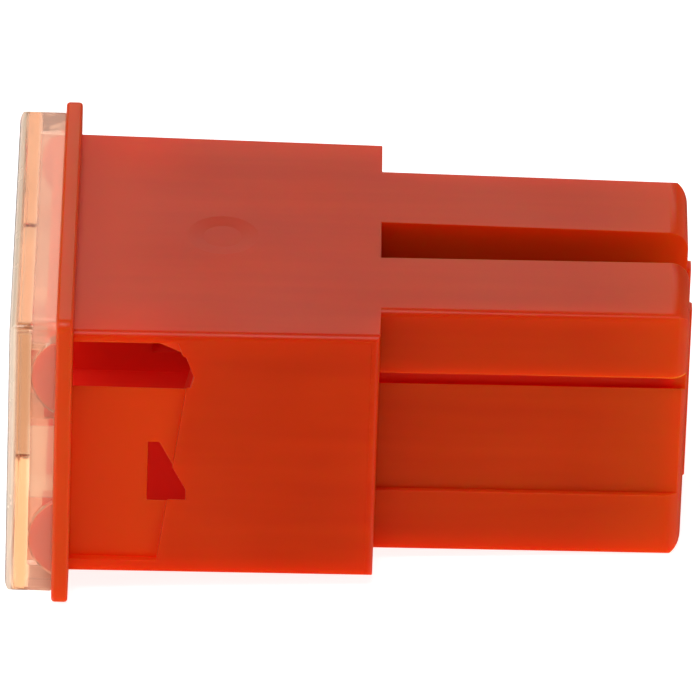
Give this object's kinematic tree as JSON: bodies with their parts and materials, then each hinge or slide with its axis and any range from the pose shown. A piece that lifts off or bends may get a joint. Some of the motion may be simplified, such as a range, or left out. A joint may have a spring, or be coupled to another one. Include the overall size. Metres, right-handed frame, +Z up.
{
  "type": "cartridge fuse",
  "caption": "Plug-in cartridge fuse: red moulded housing with a rim, clear cover and narrow nose holding female blade sockets joined by a fusible link.",
  "frame": {"origin": "under the middle of the fuse as it lies on its wide side, level with the bottom of the rim", "axes": "+X along the fuse, the way it plugs in, with the clear cover at -X and the nose at +X; +Y across the wide direction; +Z up, across the narrow direction"},
  "size_m": [0.0248, 0.0156, 0.0122],
  "materials": {
    "housing": "translucent red moulded plastic, slightly glossy",
    "cover": "clear amber moulded plastic",
    "fuse_element": "stamped copper alloy sheet, tin plated at the sockets",
    "tin_pellet": "dull cast tin",
    "contact_spring": "rolled stainless spring strip"
  },
  "bodies": {
    "root": {"housing": "housing", "cover": "cover", "fuse_element": "fuse_element", "tin_pellet": "tin_pellet", "contact_spring_front": "contact_spring", "contact_spring_back": "contact_spring"}
  },
  "joints": []
}
